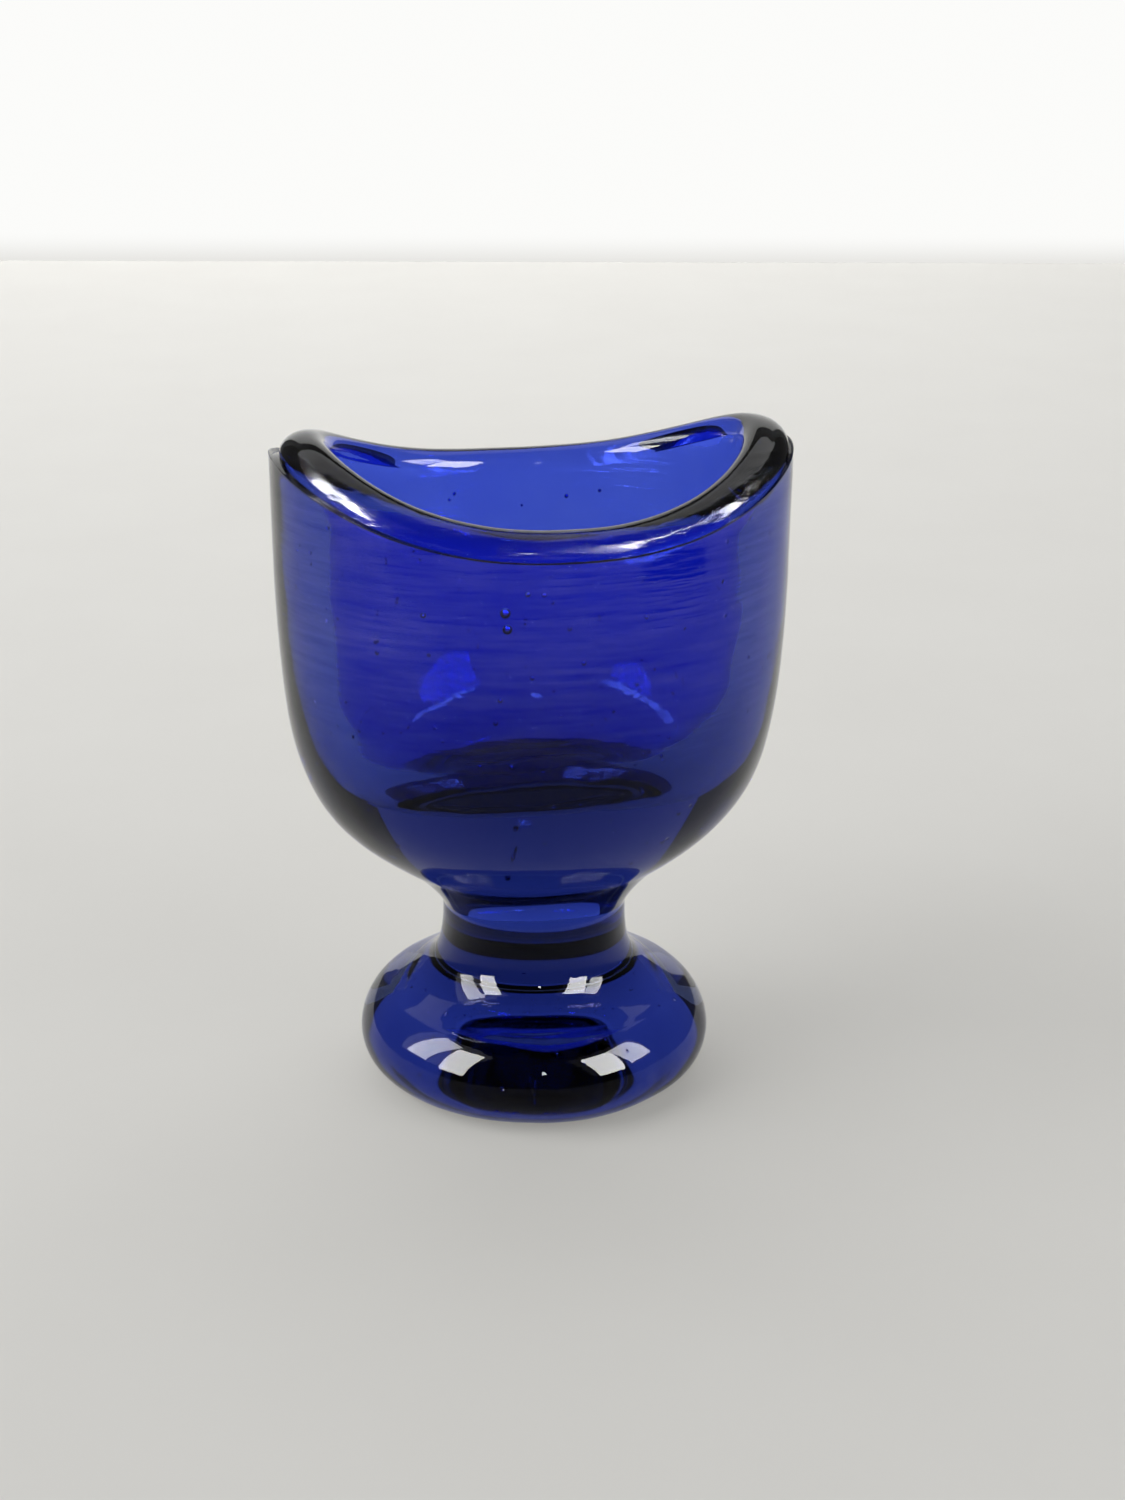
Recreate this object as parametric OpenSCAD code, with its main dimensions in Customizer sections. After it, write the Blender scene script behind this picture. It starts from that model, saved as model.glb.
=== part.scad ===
// Eye bath of pressed cobalt glass: an oval bowl with a saddle rim, on a short stem and a bun foot.
// Millimetres, +Z up, X along the bowl's long way, origin on the table under the stem.
// The real object is one piece of glass. Its four regions are separate solids that meet face to face.

/* [Foot] */
// Diameter of the foot at its widest
foot_diameter = 30.6; // [24:0.2:38]
// Height of the widest ring of the foot above the table
foot_belly = 3.8; // [2.5:0.1:6]
// Height of the foot's round crown above its widest ring
foot_crown = 4.2; // [3:0.1:6]
// How far the crown draws in before the stem's flare takes over
foot_draw = 2.8; // [1.5:0.1:4]
// Outer diameter of the flat ring that the foot stands on
base_diameter = 22.8; // [16:0.2:26]
// Width of that ring, outside the dish in the underside
ring_width = 0.6; // [0.4:0.1:3]
// Depth of the dish at its middle
dish_depth = 2.4; // [0.3:0.1:3.5]

/* [Stem] */
// Diameter of the stem at its narrowest
stem_diameter = 15.8; // [12:0.2:20]
// Height of the stem from the foot's crown to its narrowest ring
stem_height = 7.5; // [5:0.1:12]
// Slope of the flare where it leaves the crown, in degrees from the vertical
stem_slope = 65; // [50:1:75]

/* [Bowl] */
// Length of the bowl over its two high ends
bowl_length = 42.8; // [36:0.2:50]
// Width of the bowl across its two low sides
bowl_width = 33.6; // [28:0.2:42]
// Height of the bowl from the stem to its top edge at the low sides
bowl_height = 34.7; // [28:0.1:44]
// How far the bowl's underside flares out from the stem before it turns upward
flare_width = 3.9; // [2.5:0.1:5]
// Height of that turn above the stem
flare_height = 4.4; // [3.5:0.1:7]
// Slope of the underside at the turn, in degrees from the vertical
bowl_slope = 58; // [48:1:66]
// Thickness of the solid glass between the stem and the floor of the cavity
floor_depth = 11.4; // [8:0.1:14]

/* [Rim] */
// Thickness of the wall at the rim
rim_width = 4; // [2.5:0.1:5.5]
// Height of the rounded lip above the bowl's top edge
rim_height = 1.8; // [1:0.1:3]
// Ledge that the mould left round the outside, under the lip
rim_step = 0.6; // [0.1:0.05:1]
// How much higher the top edge is at the two ends than at the low sides
rim_rise = 5.1; // [2:0.1:8]
// How late the edge climbs towards the ends, 2 being an even arc
rise_power = 2.5; // [2:0.1:3.5]

/* [Hidden] */

$fn = 96;
glass = [0.05, 0.08, 0.42];

// Fullness of a curve between two tangents: 0.55 is a plain ellipse, 0.87 a squarer turn
round_full = 0.55;
crown_full = 0.58;
stem_full = 0.86;
flare_full = 0.42;
wall_full = 0.87;
cavity_full = 0.72;
// How much sooner the cavity widens along the bowl than across it, 1 being an even oval
cavity_spread = 0.42;
// Place of the lip's crest across the rim, from the outer edge inward
crest_share = 0.58;
// How soon the level lines of the bowl take up the saddle of the rim
lift_power = 4;

// Steps round the oval, along each curve and over the lip
turns = 64;
steps = 12;
lip_steps = 10;

// Heights, from the table up
crown_top = foot_belly + foot_crown;
stem_top = crown_top + stem_height;
cavity_floor = stem_top + floor_depth;
bowl_top = stem_top + bowl_height;

// Half sizes across the axis
foot_r = foot_diameter / 2;
crown_r = foot_r - foot_draw;
stem_r = stem_diameter / 2;
base_r = base_diameter / 2;
dish_r = base_r - ring_width;
wall_a = bowl_length / 2;
wall_b = bowl_width / 2;
lip_a = wall_a - rim_step;
lip_b = wall_b - rim_step;
mouth_a = lip_a - rim_width;
mouth_b = lip_b - rim_width;

// A smooth curve from p to q whose end tangents cross at x
function bend(p, x, q, full, n = steps) =
  let (a = p + (x - p) * full, b = q + (x - q) * full)
  [for (i = [0 : n]) let (t = i / n, s = 1 - t)
    p * s * s * s + a * 3 * s * s * t + b * 3 * s * t * t + q * t * t * t];

function rest(v) = [for (i = [1 : len(v) - 1]) v[i]];
function reversed(v) = [for (i = [len(v) - 1 : -1 : 0]) v[i]];

// Rise of the top edge at one angle round the oval
function saddle(angle) = rim_rise * pow(abs(cos(angle)), rise_power);

// One level ring of points with half sizes a and b, lifted by a share of the saddle
function ring(a, b, z, share) =
  [for (i = [0 : turns - 1]) let (angle = i * 360 / turns)
    [a * cos(angle), b * sin(angle), z + share * saddle(angle)]];

// Faces between two rings of points that start at k and m, outside to the outside
function strip(k, m) =
  [for (i = [0 : turns - 1]) let (j = (i + 1) % turns)
    each [[k + i, m + i, m + j], [k + i, m + j, k + j]]];

// The same faces with their diagonals the other way, to match a neighbour's
function mirror_strip(k, m) =
  [for (i = [0 : turns - 1]) let (j = (i + 1) % turns)
    each [[k + i, m + i, k + j], [m + i, m + j, k + j]]];

// Outline of the foot and of the stem, as radius and height
foot_side = concat(
  bend([base_r, 0], [foot_r, 0], [foot_r, foot_belly], round_full),
  rest(bend([foot_r, foot_belly],
            [foot_r, crown_top - foot_draw / tan(stem_slope)],
            [crown_r, crown_top], crown_full)));
stem_side = bend([crown_r, crown_top],
                 [stem_r, crown_top + (crown_r - stem_r) / tan(stem_slope)],
                 [stem_r, stem_top], stem_full, 2 * steps);

// Outline of the bowl's outside, in its long direction, from the stem to the top edge
turn_r = stem_r + flare_width;
turn_z = stem_top + flare_height;
wall_side = concat(
  bend([stem_r, stem_top],
       [stem_r, turn_z - flare_width / tan(bowl_slope)],
       [turn_r, turn_z], flare_full, steps / 2),
  rest(bend([turn_r, turn_z],
            [wall_a, turn_z + (wall_a - turn_r) / tan(bowl_slope)],
            [wall_a, bowl_top], wall_full, steps + 4)));

// Outline of the cavity, from the middle of its floor to the mouth
cavity_side = bend([0, cavity_floor], [mouth_a, cavity_floor], [mouth_a, bowl_top], cavity_full, steps + 2);

// The outside is round at the stem and reaches the full oval at the top edge
function wall_width(r) = stem_r + (r - stem_r) * (wall_b - stem_r) / (wall_a - stem_r);
function wall_share(z) = pow((z - stem_top) / bowl_height, lift_power);
function cavity_share(z) = pow((z - cavity_floor) / (bowl_top - cavity_floor), lift_power);

module rim() {
  rings = [for (i = [0 : lip_steps]) let (
      angle = 180 * i / lip_steps,
      side = cos(angle),
      across = crest_share - side * (side > 0 ? crest_share : 1 - crest_share))
    ring(lip_a - rim_width * across, lip_b - rim_width * across,
         bowl_top + rim_height * sin(angle), 1)];
  points = [for (r = rings) each r];
  faces = concat(
    [for (i = [0 : lip_steps - 1]) each strip(i * turns, (i + 1) * turns)],
    mirror_strip(lip_steps * turns, 0));
  color(glass) polyhedron(points, faces, convexity = 6);
}

module bowl() {
  inner = reversed(rest(cavity_side));
  rings = concat(
    [for (p = wall_side) ring(p[0], wall_width(p[0]), p[1], wall_share(p[1]))],
    [ring(lip_a, lip_b, bowl_top, 1)],
    [for (p = inner) let (s = p[0] / mouth_a)
      ring(mouth_a * pow(s, cavity_spread), mouth_b * s, p[1], cavity_share(p[1]))]);
  count = len(rings);
  points = concat([for (r = rings) each r], [[0, 0, stem_top], [0, 0, cavity_floor]]);
  under = count * turns;
  pole = under + 1;
  last = (count - 1) * turns;
  faces = concat(
    [for (i = [0 : count - 2]) each strip(i * turns, (i + 1) * turns)],
    [for (i = [0 : turns - 1]) [under, i, (i + 1) % turns]],
    [for (i = [0 : turns - 1]) [last + i, pole, last + (i + 1) % turns]]);
  color(glass) polyhedron(points, faces, convexity = 8);
}

module stem() {
  color(glass) rotate_extrude()
    polygon(concat([[0, crown_top]], stem_side, [[0, stem_top]]));
}

module foot() {
  ball_r = (dish_r * dish_r + dish_depth * dish_depth) / (2 * dish_depth);
  color(glass) difference() {
    rotate_extrude()
      polygon(concat([[0, 0]], foot_side, [[0, crown_top]]));
    translate([0, 0, dish_depth - ball_r]) sphere(ball_r, $fn = 240);
  }
}

rim();
bowl();
stem();
foot();
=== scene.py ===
import math
import random

import bpy
import numpy as np
from mathutils import Matrix, Vector, noise


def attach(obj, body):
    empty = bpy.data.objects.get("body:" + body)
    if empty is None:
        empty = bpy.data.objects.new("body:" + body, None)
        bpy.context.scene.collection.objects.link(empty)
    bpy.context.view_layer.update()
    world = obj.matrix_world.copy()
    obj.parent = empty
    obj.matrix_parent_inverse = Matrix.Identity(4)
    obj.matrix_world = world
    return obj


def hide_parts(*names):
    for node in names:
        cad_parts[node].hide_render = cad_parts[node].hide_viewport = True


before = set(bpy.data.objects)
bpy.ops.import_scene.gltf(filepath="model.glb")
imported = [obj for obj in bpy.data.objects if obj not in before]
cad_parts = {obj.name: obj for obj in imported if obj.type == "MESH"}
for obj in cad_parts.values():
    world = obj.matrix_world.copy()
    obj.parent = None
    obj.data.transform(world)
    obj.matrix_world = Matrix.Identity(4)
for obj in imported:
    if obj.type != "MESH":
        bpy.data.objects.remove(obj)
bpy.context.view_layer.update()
scene = bpy.context.scene
MM = 0.001

# Camera, from the rim, the mould line and the foot's outline in the photograph: place in metres
EYE = Vector((-0.0325, -0.1883, 0.1001))
HEADING = math.radians(-10.53)
PITCH = math.radians(20.4)
ROLL = math.radians(0.15)
LENS, SENSOR = 57.6, 36.0
NEAREST, FARTHEST = 0.01, 20.0

# Sizes in millimetres, the same as the CAD model's
FOOT_R, BELLY, CROWN, DRAW = 15.3, 3.8, 4.2, 2.8
BASE_R, RING_W, DISH_DEPTH = 11.4, 0.6, 2.4
STEM_R, STEM_H, STEM_SLOPE = 7.9, 7.5, math.radians(65)
WALL_A, WALL_B, BOWL_H = 21.4, 16.8, 34.7
FLARE_W, FLARE_H, BOWL_SLOPE = 3.9, 4.4, math.radians(58)
FLOOR_DEPTH, CAVITY_SPREAD = 11.4, 0.42
RIM_W, RIM_H, RIM_STEP, RIM_RISE, RISE_POWER = 4.0, 1.8, 0.6, 5.1, 2.5
CREST = 0.58
ROUND_FULL, CROWN_FULL, STEM_FULL = 0.55, 0.58, 0.86
FLARE_FULL, WALL_FULL, CAVITY_FULL = 0.42, 0.87, 0.72
LIFT_POWER = 4
CROWN_TOP = BELLY + CROWN
STEM_TOP = CROWN_TOP + STEM_H
FLOOR_Z = STEM_TOP + FLOOR_DEPTH
BOWL_TOP = STEM_TOP + BOWL_H
CROWN_R = FOOT_R - DRAW
DISH_R = BASE_R - RING_W
LIP_A, LIP_B = WALL_A - RIM_STEP, WALL_B - RIM_STEP
MOUTH_A, MOUTH_B = LIP_A - RIM_W, LIP_B - RIM_W

# Steps from the wall in to the lip, over the thin flash that the mould left and the groove behind it:
# how far in, how high over the parting line, and the share of the flash's own height
LEDGE = ((0.02, 0.0, 1.0), (0.12, -0.02, 1.0), (0.24, -0.12, 0.0), (0.62, -0.12, 0.0), (0.65, 0.04, 0.0))
# Height of the flash, how much that varies and over what length, and the fin at its -X end: how much higher
# it stands there, and how far round it runs in radians
FLASH_H, RAGGED_H, RAGGED_SIZE = 0.07, 0.05, 0.9
FIN_H, FIN_SPREAD = 0.2, 0.3
# The lip was pressed by another tool than the bowl, and sits a little towards +X
LIP_SHIFT = 0.25

# Points round each ring, steps along each stretch of the outline, and the angle that stays a crease
TURNS = 256
STEPS = {"dish": 12, "foot": 26, "stem": 44, "flare": 20, "side": 60, "lip": 40, "cavity": 70}
CREASE = math.radians(50)
ANGLES = np.arange(TURNS) * 2 * math.pi / TURNS
COS, SIN = np.cos(ANGLES), np.sin(ANGLES)
SADDLE = RIM_RISE * np.abs(COS) ** RISE_POWER

# Waves of the hand-pressed glass: their depth on each stretch, the size of the broad and of the fine ones,
# their shares, and where in the noise the fine ones start
WAVES = {"dish": 0.05, "foot": 0.10, "stem": 0.05, "wall": 0.08, "ledge": 0.02, "lip": 0.06, "cavity": 0.16}
BROAD_SIZE, FINE_SIZE = 7.0, 2.6
MEAN_SHARE, BROAD_SHARE, FINE_SHARE = 0.5, 0.75, 0.22
FINE_START = Vector((31, 7, 19))

# Bubbles that show in the photograph: angle round the bowl, height, depth under the surface, diameter
BUBBLES = (
    (-103.6, 46.2, 0.9, 0.84),
    (-103.2, 44.9, 0.9, 0.78),
    (-121.7, 45.8, 0.8, 0.46),
    (-98.8, 47.7, 0.8, 0.42),
    (-95.3, 47.6, 1.0, 0.36),
    (-86.8, 42.0, 0.8, 0.36),
    (-106.0, 37.2, 1.0, 0.38),
    (-102.6, 33.5, 1.0, 0.46),
)
# Fine seed: how many in the wall and in the foot, and the ranges that they are drawn from
CHANCE = 5
WALL_SEEDS, FOOT_SEEDS = 150, 50
WALL_SEED_Z, WALL_SEED_DEPTH, WALL_SEED_R = (STEM_TOP + 6, BOWL_TOP - 1), (0.4, 2.6), (0.07, 0.19)
FOOT_SEED_Z, FOOT_SEED_OUT, FOOT_SEED_R = (3.0, 6.0), (1, 11), (0.05, 0.11)

# Glass: the two blues between which its cords drift, the colour that its body lets through, and its index
CORD_BLUES = ((0.075, 0.135, 0.97, 1), (0.095, 0.165, 1.0, 1))
BODY, BODY_DENSITY = (0.06, 0.12, 0.24, 1), 100.0
INDEX = 1.52
# It reflects less than such glass does, so that the white room doesn't wash it out
REFLECTED = (0.2, 0.2, 0.2, 1)
# Roughness where it is polished, where it is worn, and of the veil on the streaks
POLISHED, WORN, VEILED = 0.01, 0.06, 0.2
# Depth of the fine relief and of the veil's streaks in metres, and the pits' heights as shares of the former
RELIEF_DEPTH, VEIL_DEPTH = 0.000018, 0.00012
PIT_SHARE, HOLE_SHARE = 0.04, -2.5
# Grain of the glass in features to a metre
CORDS, WEAR, PITS, HOLES = 90.0, 260.0, 2200.0, 330.0
STREAKS = (160.0, 160.0, 2000.0)
# Heights between which the streaks grow to their full strength, and their share below
STREAK_Z, STREAK_SHARE = (0.030, 0.044), 0.2
# Where the outside begins, as a share of the way from the axis to the wall
OUTSIDE = (0.84, 0.92)
# Ranges of the noise in which the cords and the wear change, and of the distance in which a hole slopes
CORD_RANGE, WEAR_RANGE, HOLE_RANGE = (0.3, 0.7), (0.45, 0.75), (0.03, 0.06)
# The veil grows over a range of the streaks' height, thins to a share over a range of the cords, and goes
# as the glass turns away from the eye
VEIL_RANGE, VEIL_CORDS, VEIL_LEAST, VEIL_TURN = (0.18, 0.60), (0.35, 0.65), 0.6, (0.2, 0.7)

# Stage in metres: how long the floor is and half its width, how far along it the backdrop stands from the
# camera, and half the width and the height of the white sheet and of the wall behind it
FLOOR_LONG, FLOOR_HALF = 1.6, 1.0
BACKDROP = 0.6386
SHEET_HALF, SHEET_H = 0.2, 0.35
WALL_HALF, WALL_H, WALL_GAP = 0.3, 0.5, 0.01
# Heights between which the white of the backdrop fades into the floor
SOFT_FOOT = (-0.004, 0.008)
# The floor's tones, its mottle in features to a metre and its roughness
FLOOR_TONES = ((0.715, 0.705, 0.675, 1), (0.745, 0.738, 0.708, 1))
FLOOR_MOTTLE, FLOOR_ROUGH = 40.0, 0.8
# The backdrop's glow from its foot up, and its roughness and greys where it doesn't glow
BACKDROP_TONES = ((0.74, 0.73, 0.70, 1), (0.97, 0.97, 0.955, 1))
BACKDROP_ROUGH, SHEET_GREY, WALL_GREY = 0.9, 0.9, 0.12
# Colour of the room, how bright it is, and how bright the camera sees it
ROOM, ROOM_GLOW, ROOM_SEEN = (0.97, 0.98, 1.0, 1), 0.08, 0.85

# The middle of the object, which the lights face
AIM = Vector((0, 0, 0.03))
# Lamps: azimuth and elevation in degrees, distance, width and height in metres, power in watts.
# Two soft windows and a lamp over the backdrop light the floor.
LAMPS = (
    ("window_left", -82, 36, 1.1, 1.0, 0.9, 5.2),
    ("window_right", 50, 34, 1.1, 0.9, 0.8, 1.2),
    ("back_lamp", 175, 60, 0.9, 1.2, 0.5, 2.0),
)
# A lamp without a shadow, for the light that real glass lets through to the floor under it
FILL = ("fill", 180, 50, 0.9, 0.8, 0.8, 5.2)
# The windows' bright sky and a bulb, as highlights: azimuth, elevation, width, height, glow
PANE_FAR = 1.1
PANES = (
    ("pane_left_near", -64, 30, 0.34, 0.8, 56.0),
    ("pane_left_far", -92, 34, 0.34, 0.8, 30.0),
    ("bulb", -3, 30, 0.06, 0.10, 60.0),
    ("pane_right_near", 42, 30, 0.42, 0.7, 62.0),
    ("pane_right_far", 66, 32, 0.30, 0.6, 34.0),
)
# The same sky and bulb in the polished cavity, with the point that each faces and its distance
CAVITY_PANES = (
    ("glow_left", -46, 34, 0.018, 0.026, 700.0, Vector((-0.012, -0.0147, 0.054)), 0.015),
    ("glow_bulb", 16, 62, 0.10, 0.24, 220.0, AIM, PANE_FAR),
    ("glow_right", 39, 24, 0.015, 0.022, 1100.0, Vector((0.012, -0.014, 0.0465)), 0.015),
)
# How far from their middle these fade out, as a share of their size
PANE_FADE = 0.6


def add_camera():
    data = bpy.data.cameras.new("camera")
    data.sensor_width = SENSOR
    data.lens = LENS
    data.clip_start = NEAREST
    data.clip_end = FARTHEST
    cam = bpy.data.objects.new("camera", data)
    scene.collection.objects.link(cam)
    level = math.cos(PITCH)
    ahead = Vector((-math.sin(HEADING) * level, math.cos(HEADING) * level, -math.sin(PITCH)))
    right = ahead.cross(Vector((0, 0, 1))).normalized()
    up = right.cross(ahead)
    turn = Matrix((right, up, -ahead)).transposed().to_4x4()
    cam.matrix_world = Matrix.Translation(EYE) @ turn @ Matrix.Rotation(ROLL, 4, "Z")
    scene.camera = cam


def bend(p, x, q, full, n):
    """A smooth curve from p to q whose end tangents cross at x."""
    p, x, q = (np.array(v, float) for v in (p, x, q))
    a, b = p + (x - p) * full, q + (x - q) * full
    t = np.linspace(0, 1, n + 1)[:, None]
    s = 1 - t
    return p * s ** 3 + a * 3 * s * s * t + b * 3 * s * t * t + q * t ** 3


def ring(a, b, z, share=0.0, shift=0.0):
    """A level ring with half sizes a and b, lifted by a share of the rim's saddle."""
    return np.stack([a * COS + shift, b * SIN, z + share * SADDLE], -1)


def wall_width(r):
    """Half the bowl's width where half its length is r: round at the stem, the full oval at the top."""
    return STEM_R + (r - STEM_R) * (WALL_B - STEM_R) / (WALL_A - STEM_R)


def wall_share(z):
    """Share of the rim's saddle that a level line of the bowl takes up."""
    return ((z - STEM_TOP) / BOWL_H) ** LIFT_POWER


def wall_side():
    """Outline of the bowl's outside in its long direction, from the stem to the parting line."""
    turn_r, turn_z = STEM_R + FLARE_W, STEM_TOP + FLARE_H
    lean = math.tan(BOWL_SLOPE)
    low = [STEM_R, turn_z - FLARE_W / lean]
    flare = bend([STEM_R, STEM_TOP], low, [turn_r, turn_z], FLARE_FULL, STEPS["flare"])
    high = [WALL_A, turn_z + (WALL_A - turn_r) / lean]
    side = bend([turn_r, turn_z], high, [WALL_A, BOWL_TOP], WALL_FULL, STEPS["side"])
    return np.concatenate([flare, side[1:]])


def dish_rings():
    ball = (DISH_R ** 2 + DISH_DEPTH ** 2) / (2 * DISH_DEPTH)
    radii = DISH_R * np.arange(1, STEPS["dish"] + 1) / STEPS["dish"]
    return [ring(r, r, math.sqrt(ball ** 2 - r * r) - ball + DISH_DEPTH) for r in radii]


def foot_rings():
    belly = [FOOT_R, BELLY]
    corner = [FOOT_R, CROWN_TOP - DRAW / math.tan(STEM_SLOPE)]
    low = bend([BASE_R, 0], [FOOT_R, 0], belly, ROUND_FULL, STEPS["foot"])
    crown = bend(belly, corner, [CROWN_R, CROWN_TOP], CROWN_FULL, STEPS["foot"])
    return [ring(r, r, z) for r, z in np.concatenate([low, crown[1:]])]


def stem_rings():
    corner = [STEM_R, CROWN_TOP + (CROWN_R - STEM_R) / math.tan(STEM_SLOPE)]
    side = bend([CROWN_R, CROWN_TOP], corner, [STEM_R, STEM_TOP], STEM_FULL, STEPS["stem"])
    return [ring(r, r, z) for r, z in side[1:]]


def wall_rings():
    return [ring(r, wall_width(r), z, wall_share(z)) for r, z in wall_side()[1:]]


def ledge_rings():
    """The ragged flash at the parting line, highest at one end, and the groove between it and the lip."""
    edge = [Vector((WALL_A * c, WALL_B * s, 0)) for c, s in zip(COS, SIN)]
    ragged = np.array([noise.noise(point / RAGGED_SIZE) for point in edge])
    fin = np.exp(-((ANGLES - math.pi) / FIN_SPREAD) ** 2)
    flash = FLASH_H + RAGGED_H * ragged + FIN_H * fin
    rings = []
    for inset, lift, share in LEDGE:
        shift = LIP_SHIFT * min(1.0, inset / RIM_STEP) ** 2
        rings.append(ring(WALL_A - inset, WALL_B - inset, BOWL_TOP + lift + share * flash, 1, shift))
    return rings


def lip_rings():
    """The rounded lip, without its first two steps, which the ledge takes."""
    rings = []
    for angle in np.linspace(0, math.pi, STEPS["lip"] + 1)[2:]:
        side = math.cos(angle)
        across = RIM_W * (CREST - side * (CREST if side > 0 else 1 - CREST))
        rings.append(ring(LIP_A - across, LIP_B - across, BOWL_TOP + RIM_H * math.sin(angle), 1, LIP_SHIFT))
    return rings


def cavity_rings():
    """The cavity from the lip down to its floor, drawn back from the lip's shift as it goes down."""
    mouth = [MOUTH_A, BOWL_TOP]
    side = bend([0, FLOOR_Z], [MOUTH_A, FLOOR_Z], mouth, CAVITY_FULL, STEPS["cavity"])[::-1]
    rings = []
    for r, z in side[1:-1]:
        share = r / MOUTH_A
        lift = ((z - FLOOR_Z) / (BOWL_TOP - FLOOR_Z)) ** LIFT_POWER
        shift = LIP_SHIFT * (z - FLOOR_Z) / (BOWL_TOP - FLOOR_Z)
        rings.append(ring(MOUTH_A * share ** CAVITY_SPREAD, MOUTH_B * share, z, lift, shift))
    return rings


def waves(point, depth):
    """How far hand-pressed glass sinks under its true form at a point, in millimetres."""
    broad = noise.noise(point / BROAD_SIZE)
    fine = noise.noise(point / FINE_SIZE + FINE_START)
    return depth * min(1.0, max(0.0, MEAN_SHARE + BROAD_SHARE * broad + FINE_SHARE * fine))


def skin(rings):
    """Faces between rings of points, each ring to the next."""
    faces = []
    for i in range(len(rings) - 1):
        k, m = i * TURNS, (i + 1) * TURNS
        for j in range(TURNS):
            n = (j + 1) % TURNS
            faces.append((k + j, k + n, m + n, m + j))
    return faces


def bubble(centre, radius, rows=8, turns=12):
    """A round hollow in the glass, so its faces look inward."""
    verts = [centre + Vector((0, 0, -radius))]
    for i in range(1, rows):
        tilt = math.pi * i / rows
        side, drop = radius * math.sin(tilt), radius * math.cos(tilt)
        for j in range(turns):
            angle = 2 * math.pi * j / turns
            verts.append(centre + Vector((side * math.cos(angle), side * math.sin(angle), -drop)))
    verts.append(centre + Vector((0, 0, radius)))
    top = len(verts) - 1
    last = 1 + (rows - 2) * turns
    faces = []
    for j in range(turns):
        n = (j + 1) % turns
        faces.append((0, 1 + j, 1 + n))
        faces.append((top, last + n, last + j))
        for i in range(rows - 2):
            k, m = 1 + i * turns, 1 + (i + 1) * turns
            faces.append((k + j, m + j, m + n, k + n))
    return verts, faces


def in_wall(angle, height, depth, rounds=6):
    """The point at a depth under the bowl's outside, at an angle round it."""
    side = wall_side()
    c, s = math.cos(math.radians(angle)), math.sin(math.radians(angle))
    lift = RIM_RISE * abs(c) ** RISE_POWER
    # the lift depends on the level line that it raises, and a few rounds settle which one
    z = height
    for _ in range(rounds):
        z = height - lift * wall_share(max(z, STEM_TOP))
    r = float(np.interp(z, side[:, 1], side[:, 0]))
    return Vector(((r - depth) * c, (wall_width(r) - depth) * s, height))


def glass_bubbles():
    """The bubbles that show, and fine seed through the wall and the foot."""
    found = [(in_wall(angle, height, depth), size / 2) for angle, height, depth, size in BUBBLES]
    chance = random.Random(CHANCE)
    for _ in range(WALL_SEEDS):
        angle = chance.uniform(0, 360)
        height = chance.uniform(*WALL_SEED_Z)
        centre = in_wall(angle, height, chance.uniform(*WALL_SEED_DEPTH))
        found.append((centre, chance.uniform(*WALL_SEED_R)))
    for _ in range(FOOT_SEEDS):
        angle, out = chance.uniform(0, 2 * math.pi), chance.uniform(*FOOT_SEED_OUT)
        centre = Vector((out * math.cos(angle), out * math.sin(angle), chance.uniform(*FOOT_SEED_Z)))
        found.append((centre, chance.uniform(*FOOT_SEED_R)))
    return found


def glass_mesh():
    """One closed skin from the middle of the base, up the outside, over the lip and down into the cavity."""
    parts = {"dish": dish_rings(), "foot": foot_rings(), "stem": stem_rings(), "wall": wall_rings(),
             "ledge": ledge_rings(), "lip": lip_rings(), "cavity": cavity_rings()}
    rings = [one for some in parts.values() for one in some]
    depths = [WAVES[name] for name, some in parts.items() for _ in some]
    verts = [Vector(p) for one in rings for p in one]
    under, pole = len(verts), len(verts) + 1
    verts += [Vector((0, 0, DISH_DEPTH)), Vector((0, 0, FLOOR_Z))]
    faces = skin(rings)
    last = (len(rings) - 1) * TURNS
    for j in range(TURNS):
        n = (j + 1) % TURNS
        faces.append((under, n, j))
        faces.append((pole, last + j, last + n))
    mesh = bpy.data.meshes.new("eye_bath_glass")
    mesh.from_pydata(verts, [], faces)
    normals = [Vector(v.vector) for v in mesh.vertex_normals]
    seat = len(parts["dish"]) - 1
    for i in range(len(rings) * TURNS):
        # the ring that it stands on stays flat
        if i // TURNS not in (seat, seat + 1):
            verts[i] = verts[i] - normals[i] * waves(verts[i], depths[i // TURNS])
    for centre, radius in glass_bubbles():
        more, round_faces = bubble(centre, radius)
        faces += [tuple(len(verts) + k for k in face) for face in round_faces]
        verts += more
    mesh.clear_geometry()
    mesh.from_pydata([v * MM for v in verts], [], faces)
    mesh.validate()
    mesh.shade_smooth()
    mesh.set_sharp_from_angle(angle=CREASE)
    return mesh


def new_material(name):
    mat = bpy.data.materials.new(name)
    mat.use_nodes = True
    return mat, mat.node_tree


def feed(tree, node, inputs):
    """Set each input of a node to a constant, or link it to another node's output."""
    for key, value in inputs.items():
        if isinstance(value, bpy.types.NodeSocket):
            tree.links.new(value, node.inputs[key])
        else:
            node.inputs[key].default_value = value


def add_node(tree, kind, inputs):
    node = tree.nodes.new("ShaderNode" + kind)
    feed(tree, node, inputs)
    return node


def light_path(tree):
    return add_node(tree, "LightPath", {}).outputs


def place_in(tree, space):
    return add_node(tree, "TexCoord", {}).outputs[space]


def height_of(tree, place):
    return add_node(tree, "SeparateXYZ", {"Vector": place}).outputs["Z"]


def stretch(tree, place, scale):
    return add_node(tree, "Mapping", {"Vector": place, "Scale": scale}).outputs["Vector"]


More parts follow.
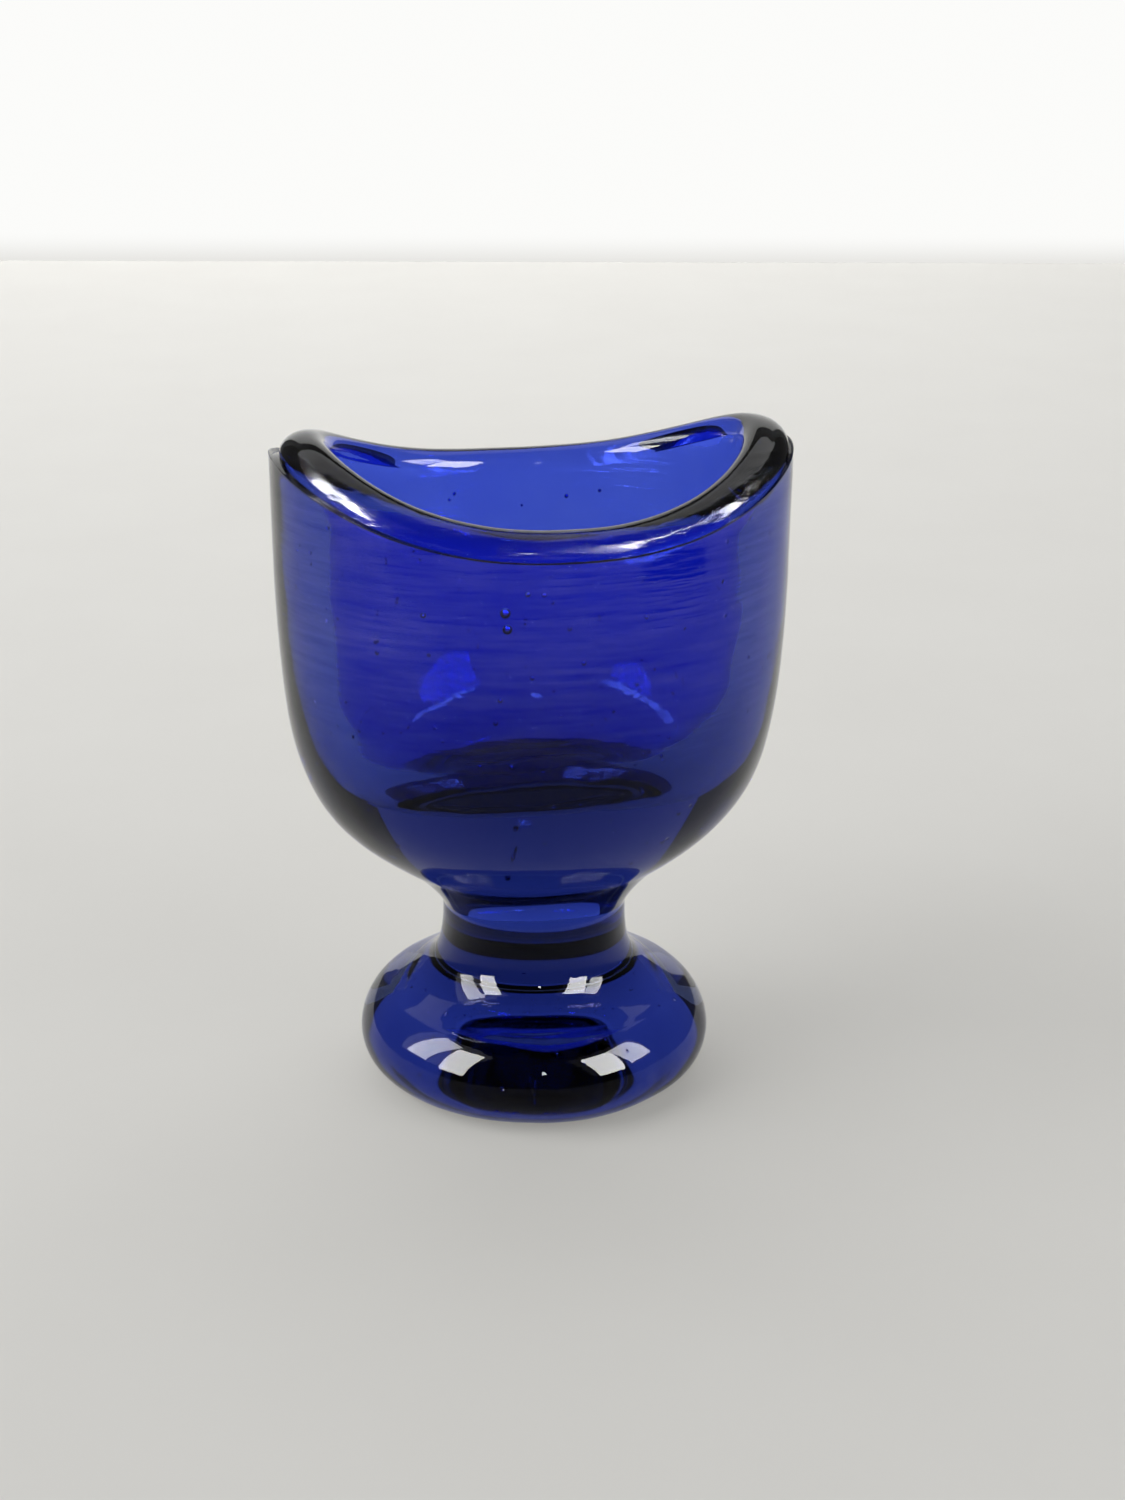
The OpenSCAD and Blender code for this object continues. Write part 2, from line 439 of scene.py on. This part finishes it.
def cloud(tree, place, scale, detail, roughness=0.5, distortion=0.0):
    """Soft noise."""
    return add_node(tree, "TexNoise", {
        "Vector": place,
        "Scale": scale,
        "Detail": detail,
        "Roughness": roughness,
        "Distortion": distortion,
    }).outputs["Fac"]


def ramp(tree, value, start, end=(0.0, 1.0), smooth=False):
    """A value carried from one range to another and held at its ends."""
    node = add_node(tree, "MapRange", {
        "Value": value,
        "From Min": start[0],
        "From Max": start[1],
        "To Min": end[0],
        "To Max": end[1],
    })
    node.interpolation_type = "SMOOTHSTEP" if smooth else "LINEAR"
    return node.outputs["Result"]


def tones(tree, value, colours, start=(0.0, 1.0)):
    """A colour between two, as a value goes through a range."""
    node = add_node(tree, "ValToRGB", {"Fac": value})
    for stop, position, colour in zip(node.color_ramp.elements, start, colours):
        stop.position = position
        stop.color = colour
    return node.outputs["Color"]


def maths(tree, operation, *values, kind="Math"):
    """A number worked out from other values."""
    node = add_node(tree, kind, {})
    node.operation = operation
    feed(tree, node, dict(enumerate(values)))
    return node.outputs["Value"]


def bump(tree, height, depth):
    node = add_node(tree, "Bump", {"Strength": 1.0, "Distance": depth, "Height": height})
    return node.outputs["Normal"]


def chill_streaks(tree, place):
    """Fine level streaks where the hot glass met the mould, strongest round the bowl."""
    streaks = cloud(tree, stretch(tree, place, STREAKS), scale=1.0, detail=2.0, roughness=0.55)
    high = ramp(tree, height_of(tree, place), STREAK_Z, (STREAK_SHARE, 1.0))
    # only the outside touched the mould: the plunger left the cavity smooth
    oval = stretch(tree, place, (1 / (WALL_A * MM), 1 / (WALL_B * MM), 0.0))
    outside = ramp(tree, maths(tree, "LENGTH", oval, kind="VectorMath"), OUTSIDE)
    return maths(tree, "MULTIPLY", streaks, maths(tree, "MULTIPLY", high, outside))


def fine_relief(tree, place, streaks):
    """The streaks with fine pits, and with open seed: small holes here and there."""
    pits = cloud(tree, place, PITS, detail=2.0)
    fine = maths(tree, "MULTIPLY_ADD", pits, PIT_SHARE, streaks)
    cells = add_node(tree, "TexVoronoi", {"Vector": place, "Scale": HOLES}).outputs["Distance"]
    hole = ramp(tree, cells, HOLE_RANGE, (HOLE_SHARE, 0.0))
    return maths(tree, "ADD", hole, fine)


def veil(tree, cords, streaks):
    """How much of a dull veil lies on the streaks: uneven, and none where the glass turns away."""
    patch = ramp(tree, streaks, VEIL_RANGE)
    uneven = ramp(tree, cords, VEIL_CORDS, (VEIL_LEAST, 1.0))
    edge = add_node(tree, "LayerWeight", {"Blend": 0.5}).outputs["Facing"]
    face = ramp(tree, edge, VEIL_TURN, (1.0, 0.0))
    return maths(tree, "MULTIPLY", maths(tree, "MULTIPLY", patch, uneven), face)


def glass_material():
    """Cobalt glass: the surface takes the colour of the light that gets in, the body dims it with depth."""
    mat, tree = new_material("cobalt_glass")
    place = place_in(tree, "Object")
    # cords in the melt: the blue drifts a little from place to place
    cords = cloud(tree, place, CORDS, detail=3.0, distortion=1.5)
    # handling has dulled the polish in patches
    wear = cloud(tree, place, WEAR, detail=5.0)
    streaks = chill_streaks(tree, place)
    feed(tree, tree.nodes["Principled BSDF"], {
        "Base Color": tones(tree, cords, CORD_BLUES, CORD_RANGE),
        "Roughness": ramp(tree, wear, WEAR_RANGE, (POLISHED, WORN)),
        "IOR": INDEX,
        "Normal": bump(tree, fine_relief(tree, place, streaks), RELIEF_DEPTH),
        "Specular Tint": REFLECTED,
        "Transmission Weight": 1.0,
        "Coat Weight": veil(tree, cords, streaks),
        "Coat Roughness": VEILED,
        "Coat Normal": bump(tree, streaks, VEIL_DEPTH),
    })
    body = add_node(tree, "VolumeAbsorption", {"Color": BODY, "Density": BODY_DENSITY})
    feed(tree, tree.nodes["Material Output"], {"Volume": body.outputs["Volume"]})
    return mat


def add_glass():
    obj = bpy.data.objects.new("eye_bath_glass", glass_mesh())
    scene.collection.objects.link(obj)
    obj.data.materials.append(glass_material())
    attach(obj, "root")
    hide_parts("rim", "bowl", "stem", "foot")


def floor_material():
    """Pale matt card with a faint mottle."""
    mat, tree = new_material("floor_card")
    mottle = cloud(tree, place_in(tree, "Object"), FLOOR_MOTTLE, detail=4.0)
    feed(tree, tree.nodes["Principled BSDF"], {
        "Base Color": tones(tree, mottle, FLOOR_TONES),
        "Roughness": FLOOR_ROUGH,
        "Specular IOR Level": 0.0,
    })
    return mat


def backdrop_material(name, grey, seen):
    """White in the glass and, where it is seen, to the eye, with a soft foot where it meets the floor."""
    mat, tree = new_material(name)
    card = tree.nodes["Principled BSDF"]
    feed(tree, card, {"Base Color": (grey, grey, grey, 1), "Roughness": BACKDROP_ROUGH})
    spot = add_node(tree, "NewGeometry", {}).outputs["Position"]
    rise = ramp(tree, height_of(tree, spot), SOFT_FOOT, smooth=True)
    glow = add_node(tree, "Emission", {"Color": tones(tree, rise, BACKDROP_TONES)})
    path = light_path(tree)
    white = path["Is Transmission Ray"]
    if seen:
        direct = maths(tree, "MAXIMUM", path["Is Camera Ray"], path["Is Glossy Ray"])
        white = maths(tree, "MAXIMUM", direct, white)
    pick = add_node(tree, "MixShader", {0: white, 1: card.outputs["BSDF"], 2: glow.outputs["Emission"]})
    feed(tree, tree.nodes["Material Output"], {"Surface": pick.outputs["Shader"]})
    return mat


def cavity_glow(tree, glow):
    """Strength of a pane that shows only inside the cavity, brightest in its middle."""
    path = light_path(tree)
    # only by way of one reflection, so that it doesn't glare through the glass from behind
    once = maths(tree, "COMPARE", path["Glossy Depth"], 1.0, 0.5)
    behind = ramp(tree, path["Transmission Depth"], (0.0, 1.0))
    middle = (0.5, 0.5, 0.5)
    out = maths(tree, "DISTANCE", place_in(tree, "Generated"), middle, kind="VectorMath")
    soft = ramp(tree, out, (0.0, PANE_FADE), (glow, 0.0), smooth=True)
    return maths(tree, "MULTIPLY", soft, maths(tree, "MULTIPLY", once, behind))


def pane_material(name, glow, inside):
    """Bright sky, which isn't sampled as a lamp."""
    mat, tree = new_material(name)
    mat.cycles.emission_sampling = "NONE"
    sky = add_node(tree, "Emission", {"Strength": cavity_glow(tree, glow) if inside else glow})
    feed(tree, tree.nodes["Material Output"], {"Surface": sky.outputs["Emission"]})
    return mat


def add_plane(name, start, end, right, mat):
    """A flat rectangle from the middle of one edge to the middle of the other, with half an edge as right."""
    mesh = bpy.data.meshes.new(name)
    corners = [start - right, start + right, end + right, end - right]
    mesh.from_pydata(corners, [], [(0, 1, 2, 3)])
    obj = bpy.data.objects.new(name, mesh)
    obj.data.materials.append(mat)
    scene.collection.objects.link(obj)
    return obj


def direction(azimuth, elevation):
    """The way from the object to a light: azimuth 0 is -Y and 90 is +X."""
    az, el = math.radians(azimuth), math.radians(elevation)
    return Vector((math.sin(az) * math.cos(el), -math.cos(az) * math.cos(el), math.sin(el)))


def add_light(name, azimuth, elevation, distance, width, height, power):
    place = AIM + distance * direction(azimuth, elevation)
    data = bpy.data.lights.new(name, "AREA")
    data.shape = "RECTANGLE"
    data.size = width
    data.size_y = height
    data.energy = power
    obj = bpy.data.objects.new(name, data)
    obj.location = place
    obj.rotation_euler = (AIM - place).to_track_quat("-Z", "Y").to_euler()
    scene.collection.objects.link(obj)
    return obj


def add_pane(name, azimuth, elevation, width, height, glow, aim=AIM, distance=PANE_FAR, inside=False):
    """A bright window pane that shows only as a highlight: on the glass, or in the cavity behind it."""
    back, turn = direction(azimuth, elevation), math.radians(azimuth)
    right = Vector((math.cos(turn), math.sin(turn), 0)) * width / 2
    up = back.cross(right).normalized() * height / 2
    middle = aim + back * distance
    obj = add_plane(name, middle - up, middle + up, right, pane_material(name, glow, inside))
    obj.visible_camera = False
    obj.visible_diffuse = False
    obj.visible_shadow = False
    obj.visible_transmission = inside


def add_stage():
    """The floor, the white sheet at its far edge, and a wall behind that, which only the glass shows."""
    ahead = Vector((-math.sin(HEADING), math.cos(HEADING), 0))
    right = Vector((ahead.y, -ahead.x, 0))
    far = Vector((EYE.x, EYE.y, 0)) + ahead * BACKDROP
    behind = far + ahead * WALL_GAP
    sheet_top, wall_top = far + Vector((0, 0, SHEET_H)), behind + Vector((0, 0, WALL_H))
    add_plane("floor", far - ahead * FLOOR_LONG, far, right * FLOOR_HALF, floor_material())
    sheet_white = backdrop_material("sheet", SHEET_GREY, True)
    add_plane("sheet", far, sheet_top, right * SHEET_HALF, sheet_white)
    wall_white = backdrop_material("wall", WALL_GREY, False)
    wall = add_plane("wall", behind, wall_top, right * WALL_HALF, wall_white)
    wall.visible_camera = False


def add_room():
    """A dim pale room, which is bright where the camera sees it."""
    world = bpy.data.worlds.new("room")
    scene.world = world
    world.use_nodes = True
    tree = world.node_tree
    seen = light_path(tree)["Is Camera Ray"]
    feed(tree, tree.nodes["Background"], {
        "Color": ROOM,
        "Strength": ramp(tree, seen, (0.0, 1.0), (ROOM_GLOW, ROOM_SEEN)),
    })


def add_lights():
    for lamp in LAMPS:
        add_light(*lamp)
    fill = add_light(*FILL)
    fill.data.use_shadow = False
    fill.data.cycles.use_multiple_importance_sampling = False
    fill.visible_glossy = False
    fill.visible_transmission = False
    for pane in PANES:
        add_pane(*pane)
    for pane in CAVITY_PANES:
        add_pane(*pane, inside=True)


add_camera()
add_glass()
add_stage()
add_room()
add_lights()
scene.view_settings.view_transform = "Standard"
# deep blue glass throws no visible pool of light on the floor
scene.cycles.caustics_reflective = False
scene.cycles.caustics_refractive = False
